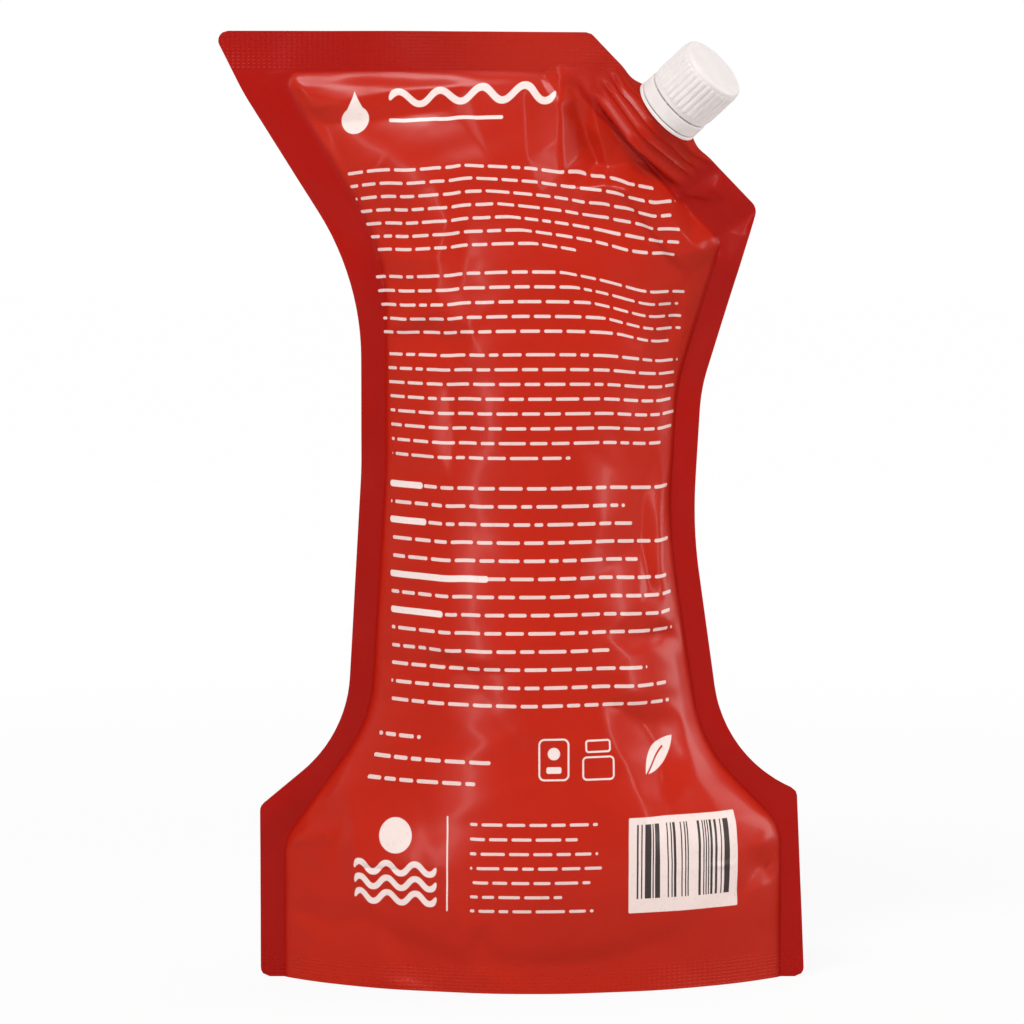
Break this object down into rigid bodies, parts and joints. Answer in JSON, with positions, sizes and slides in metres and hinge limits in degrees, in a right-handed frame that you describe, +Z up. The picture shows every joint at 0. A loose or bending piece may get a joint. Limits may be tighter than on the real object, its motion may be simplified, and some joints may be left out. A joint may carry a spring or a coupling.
{
  "type": "hand soap refill pouch",
  "caption": "Filled stand-up refill pouch with a narrow waist, flat welded borders, bottom gusset and a screw-capped spout in its cut top corner.",
  "frame": {"origin": "middle of the bottom gusset's flat, on the surface that the pouch stands on", "axes": "+Z up, +X to the right and +Y away from the viewer when the printed back panel is looked at"},
  "size_m": [0.1821, 0.0718, 0.2955],
  "materials": {
    "film": "glossy red laminated film with pale print",
    "spout_plastic": "satin white moulded plastic",
    "cap_plastic": "satin warm white moulded plastic",
    "wad_foam": "matt white closed-cell foam"
  },
  "bodies": {
    "pack": {"pouch": "film", "spout": "spout_plastic", "tamper_ring": "cap_plastic"},
    "wad": {"cap_wad": "wad_foam"},
    "cap": {"cap": "cap_plastic"}
  },
  "joints": [
    {"name": "cap_rise", "type": "slide", "parent": "pack", "child": "wad", "axis": [0.68, -0.342, 0.6485], "range_m": [0, 0.01281]},
    {"name": "cap_turn", "type": "hinge", "parent": "wad", "child": "cap", "pos_m": [0.04083, -0.01638, 0.27104], "axis": [0.68, -0.342, 0.6485], "range_deg": [0, 1440]}
  ],
  "couplings": [
    {"joint": "cap_rise", "follows": "cap_turn", "m_per_rad": 0.0005093}
  ]
}
